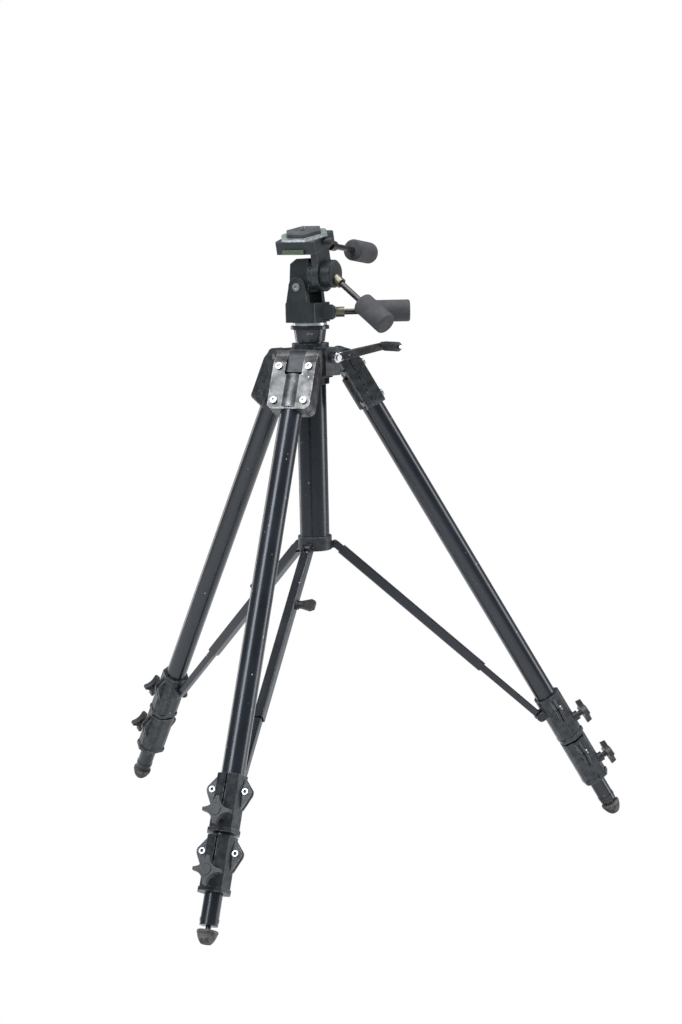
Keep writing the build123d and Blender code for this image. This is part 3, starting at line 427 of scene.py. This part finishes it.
def dress_knob(body, side):
    """Star, stem and boss on a clamp knob, along the axis that it turns about."""
    measure, joint = off_axis(f"{body}_turn"), joints[f"{body}_turn"]
    spots = [measure(vertex.co) for vertex in nodes[body].data.vertices]
    plate = [along for radius, along in spots if radius > STAR_PLATE_FROM]
    ends = min(along for _, along in spots), max(along for _, along in spots)
    facing = 1.0 if abs(ends[1] - max(plate)) < abs(min(plate) - ends[0]) else -1.0
    near, far = (min(plate), max(plate)) if facing > 0 else (max(plate), min(plate))
    back, front = ends if facing > 0 else ends[::-1]
    origin, outward = Vector(joint["pos_m"]), Vector(joint["axis"]).normalized()

    def part(end, start, stop, outline, top=1.0):
        return prism(f"{body}_{end}", body, plastic, origin + outward * start,
                     side, outward * facing, outline, abs(stop - start), top)

    star = part("star", near, far, star_outline(), STAR_TOP)
    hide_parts(body)
    part("stem", back, near, ring_points(STEM_R, STEM_SIDES))
    part("boss", far, front, ring_points(BOSS_R, BOSS_SIDES), BOSS_TOP)


for leg in LEGS:
    for which in ("upper_knob", "lower_knob"):
        dress_knob(f"{leg}_leg_{which}", leg_axes(leg)[2])

# the clamps' wide ears: (sideways, down the leg) corners, measured from the ear screws' line,
# with a thin sheet of painted shade, standing a little proud, for the gap between an ear's two
# halves
EAR_CORNERS = ((0.0165, -0.0165), (0.0190, -0.0165), (0.0292, -0.0037), (0.0300, -0.0016),
               (0.0300, 0.0012), (0.0291, 0.0042), (0.0200, 0.0225), (0.0165, 0.0225))
EAR_HALF, EAR_GAP_HALF, EAR_GAP_PROUD = 0.0046, 0.0007, 0.0002
EAR_PARTS = (("ear", EAR_HALF, 0.0, casting_black),
             ("gap", EAR_GAP_HALF, EAR_GAP_PROUD, painted_shade_black))
for leg in LEGS:
    origin, normal, side, down = leg_axes(leg)
    along = math.copysign(1.0, normal.cross(side).dot(down))
    for clamp_name, body in (("upper_clamp", f"{leg}_leg"), ("lower_clamp", f"{leg}_leg_middle")):
        base = origin + down * ear_lines[leg, clamp_name]
        for hand, sign in (("a", 1.0), ("b", -1.0)):
            for part, half, proud, material in EAR_PARTS:
                corners = [(sign * (u + proud), along * (v + math.copysign(proud, v)))
                           for u, v in EAR_CORNERS]
                if sign * along < 0:
                    corners.reverse()
                prism(f"{leg}_leg_{clamp_name}_{part}_{hand}", body, material,
                      base - normal * half, side, normal, corners, 2 * half)

# ribbed feet: a flange, a skirt that rounds in, and a blunt end that rests on the floor,
# measured down the leg from the centre of the CAD foot's ball
FOOT_R, FOOT_BALL_R, FOOT_TOP, FOOT_END = 0.0135, 0.013, -0.0056, 0.0114
FLANGE_CHAMFER, FLANGE_CHAMFER_HEIGHT = 0.0012, 0.0008
SKIRT_FROM, SKIRT_TAPER = -0.0022, 0.55
FOOT_RIBS, RIB_DEPTH = 6, 0.0005
RIB_STEPS = ((0.06, RIB_DEPTH), (0.30, RIB_DEPTH), (0.40, 0.0), (1.0, 0.0))
STUD_PROFILE = ((0.0034, -0.0125), (0.0034, FOOT_TOP - 0.0012),
                (0.0048, FOOT_TOP - 0.0010), (0.0048, FOOT_TOP + 0.0004))


def skirt_radius(along):
    """Halfway between a cone and the ball that the CAD foot has."""
    cone = FOOT_R - (along - SKIRT_FROM) * SKIRT_TAPER
    return (cone + math.sqrt(FOOT_BALL_R ** 2 - along ** 2)) / 2


def foot_outline():
    """(radius, along) points of a foot, from its flange to its end."""
    points = [(FOOT_R - FLANGE_CHAMFER, FOOT_TOP), (FOOT_R, FOOT_TOP + FLANGE_CHAMFER_HEIGHT),
              (FOOT_R, SKIRT_FROM)]
    rib_pitch = (FOOT_END - SKIRT_FROM) / FOOT_RIBS
    for rib in range(FOOT_RIBS):
        for share, depth in RIB_STEPS:
            along = SKIRT_FROM + rib * rib_pitch + share * rib_pitch
            points.append((skirt_radius(along) - depth, along))
    return points


for leg in LEGS:
    origin, _, _, down = leg_axes(leg)
    body, cad_foot = f"{leg}_leg_lower", nodes[f"{leg}_leg_foot"].data
    reach = max((Vector(vertex.co) - origin).dot(down) for vertex in cad_foot.vertices)
    centre = origin + down * (reach - FOOT_BALL_R)
    foot = lathe(f"{leg}_leg_foot_pad", body, foot_rubber, centre, down,
                 foot_outline())
    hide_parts(f"{leg}_leg_foot")
    lathe(f"{leg}_leg_foot_stud", body, ring_steel, centre, down, STUD_PROFILE,
          count=24)

# two set screws in the cup under the head: bright heads, each with a black hexagon of painted
# shade for its socket
CUP_Z, CUP_RADIUS, SET_SCREW_SUNK = 0.7185, 0.0217, 0.0006
SET_SCREW_R, SET_SCREW_HEIGHT, SOCKET_R, SOCKET_HEIGHT = 0.0016, 0.0008, 0.0008, 0.00012
column_x, column_y = joints["pan_turn"]["pos_m"][:2]
cup_centre = Vector((column_x, column_y, CUP_Z))
for hand, turn in (("a", -78.0), ("b", -66.0)):
    facing = Vector((math.cos(math.radians(turn)), math.sin(math.radians(turn)), 0.0))
    base = cup_centre + facing * (CUP_RADIUS - SET_SCREW_SUNK)
    across, name = facing.orthogonal(), f"cup_set_screw_{hand}"
    prism(f"{name}_head", "column", steel, base, across, facing,
          ring_points(SET_SCREW_R), SET_SCREW_HEIGHT)
    prism(f"{name}_socket", "column", painted_shade_black, base + facing * SET_SCREW_HEIGHT,
          across, facing, ring_points(SOCKET_R, 6), SOCKET_HEIGHT)

# ------------------------------------------------------------------ floor, light and camera
FLOOR_SIZE = 30.0


def split_rays(tree, rays, usual, special, output):
    """Show the special shader to two kinds of ray and the usual one to the others."""
    path = tree.nodes.new("ShaderNodeLightPath")
    either = tree.nodes.new("ShaderNodeMath")
    either.operation = "MAXIMUM"
    for kind, socket in zip(rays, either.inputs):
        tree.links.new(path.outputs[kind], socket)
    blend = tree.nodes.new("ShaderNodeMixShader")
    tree.links.new(either.outputs[0], blend.inputs["Fac"])
    tree.links.new(usual.outputs[0], blend.inputs[1])
    tree.links.new(special.outputs[0], blend.inputs[2])
    tree.links.new(blend.outputs[0], tree.nodes[output].inputs["Surface"])


# a floor that bounces light, and that the camera and the lamps go through
bpy.ops.mesh.primitive_plane_add(size=FLOOR_SIZE)
floor = bpy.context.object
floor.name = "studio_floor"
floor_material, tree, matte, _ = new_material("studio_white")
matte.inputs["Base Color"].default_value = (0.92, 0.92, 0.92, 1.0)
matte.inputs["Roughness"].default_value = 0.9
clear = tree.nodes.new("ShaderNodeBsdfTransparent")
split_rays(tree, ("Is Camera Ray", "Is Shadow Ray"), matte, clear, "Material Output")
floor.data.materials.append(floor_material)

# a dim bluish room that the camera sees as plain white
world = bpy.data.worlds.new("studio")
bpy.context.scene.world = world
world.use_nodes = True
tree = world.node_tree
room = tree.nodes["Background"]
room.inputs["Color"].default_value = (0.80, 0.86, 0.95, 1.0)
room.inputs["Strength"].default_value = 0.30
white = tree.nodes.new("ShaderNodeBackground")
white.inputs["Color"].default_value = (1.0, 1.0, 1.0, 1.0)
split_rays(tree, ("Is Camera Ray", "Is Transmission Ray"), room, white, "World Output")


def softbox(name, place, size, power, colour):
    """Rectangular area lamp at a place, aimed at the tripod's middle."""
    lamp = bpy.data.lights.new(name, "AREA")
    lamp.shape = "RECTANGLE"
    lamp.size, lamp.size_y = size
    lamp.energy = power
    lamp.color = colour
    lamp_object = bpy.data.objects.new(name, lamp)
    bpy.context.scene.collection.objects.link(lamp_object)
    lamp_object.location = place
    aim = Vector(LIGHT_TARGET) - Vector(place)
    lamp_object.rotation_euler = aim.to_track_quat("-Z", "Y").to_euler()


LIGHT_TARGET = (0.0, 0.0, 0.45)
softbox("key_left", (-0.75, -1.9, 2.5), (1.3, 2.0), 60.0, (0.88, 0.94, 1.0))
softbox("side_right", (2.3, 0.95, 1.2), (0.9, 2.8), 30.0, (0.93, 0.96, 1.0))
softbox("top", (0.2, 0.0, 2.6), (1.2, 1.2), 34.0, (1.0, 1.0, 1.0))
softbox("side_left", (-2.2, 1.2, 1.2), (0.6, 2.8), 14.0, (1.0, 0.95, 0.88))

# camera: its place is measured from the foot of the column's axis
CAMERA_OFFSET, LENS = Vector((0.9038, -2.5892, 0.8846)), 70.14
HEADING, PITCH, ROLL = math.radians(-18.467), math.radians(8.613), math.radians(-1.224)
column_foot = Vector((0.0, column_y, 0.0))
forward = Vector((math.cos(PITCH) * math.sin(HEADING), math.cos(PITCH) * math.cos(HEADING),
                  -math.sin(PITCH)))
level_right = forward.cross(Vector((0, 0, 1))).normalized()
level_up = level_right.cross(forward)
right = level_right * math.cos(ROLL) + level_up * math.sin(ROLL)
up = level_up * math.cos(ROLL) - level_right * math.sin(ROLL)
camera_data = bpy.data.cameras.new("camera")
camera_data.lens = LENS
camera = bpy.data.objects.new("camera", camera_data)
bpy.context.scene.collection.objects.link(camera)
rotation = Matrix((right, up, -forward)).transposed().to_4x4()
camera.matrix_world = Matrix.Translation(column_foot + CAMERA_OFFSET) @ rotation
bpy.context.scene.camera = camera
bpy.context.scene.view_settings.view_transform = "Standard"
